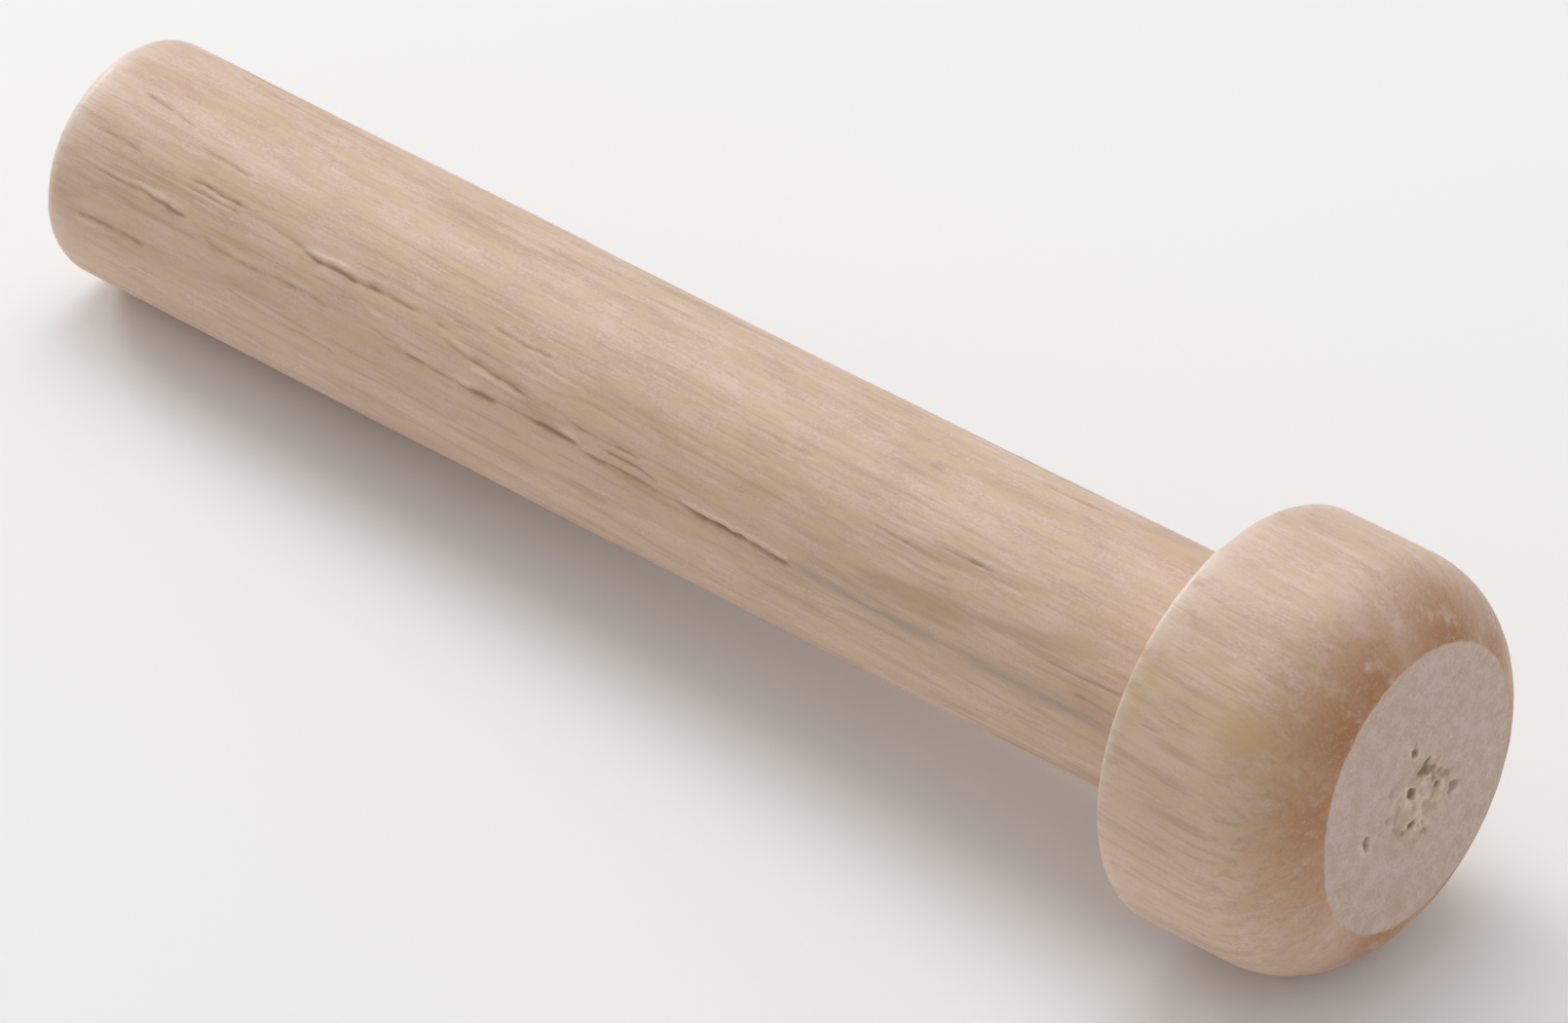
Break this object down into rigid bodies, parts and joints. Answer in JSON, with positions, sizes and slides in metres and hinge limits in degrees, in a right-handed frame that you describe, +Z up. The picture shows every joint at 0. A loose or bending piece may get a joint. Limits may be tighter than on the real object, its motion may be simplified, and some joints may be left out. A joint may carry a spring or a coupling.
{
  "type": "wooden mallet",
  "caption": "Small in-line mallet turned from pale hardwood: a straight round handle with a tenon glued into a mushroom-shaped head with a flat striking face.",
  "frame": {"origin": "on the plane that the mallet lies on, midway along and across it", "axes": "+Z up; +X towards the striking face, with the axis of the mallet rising 3.56 degrees towards the head, because the head is thicker than the butt and both touch the plane Z = 0; +Y across the mallet"},
  "size_m": [0.1996, 0.0514, 0.0522],
  "materials": {
    "handle_wood": "sanded, unvarnished",
    "head_wood": "sanded, unvarnished, with a browner shoulder and a bare grey end-grain face"
  },
  "bodies": {
    "root": {"handle": "handle_wood", "head": "head_wood"}
  },
  "joints": []
}
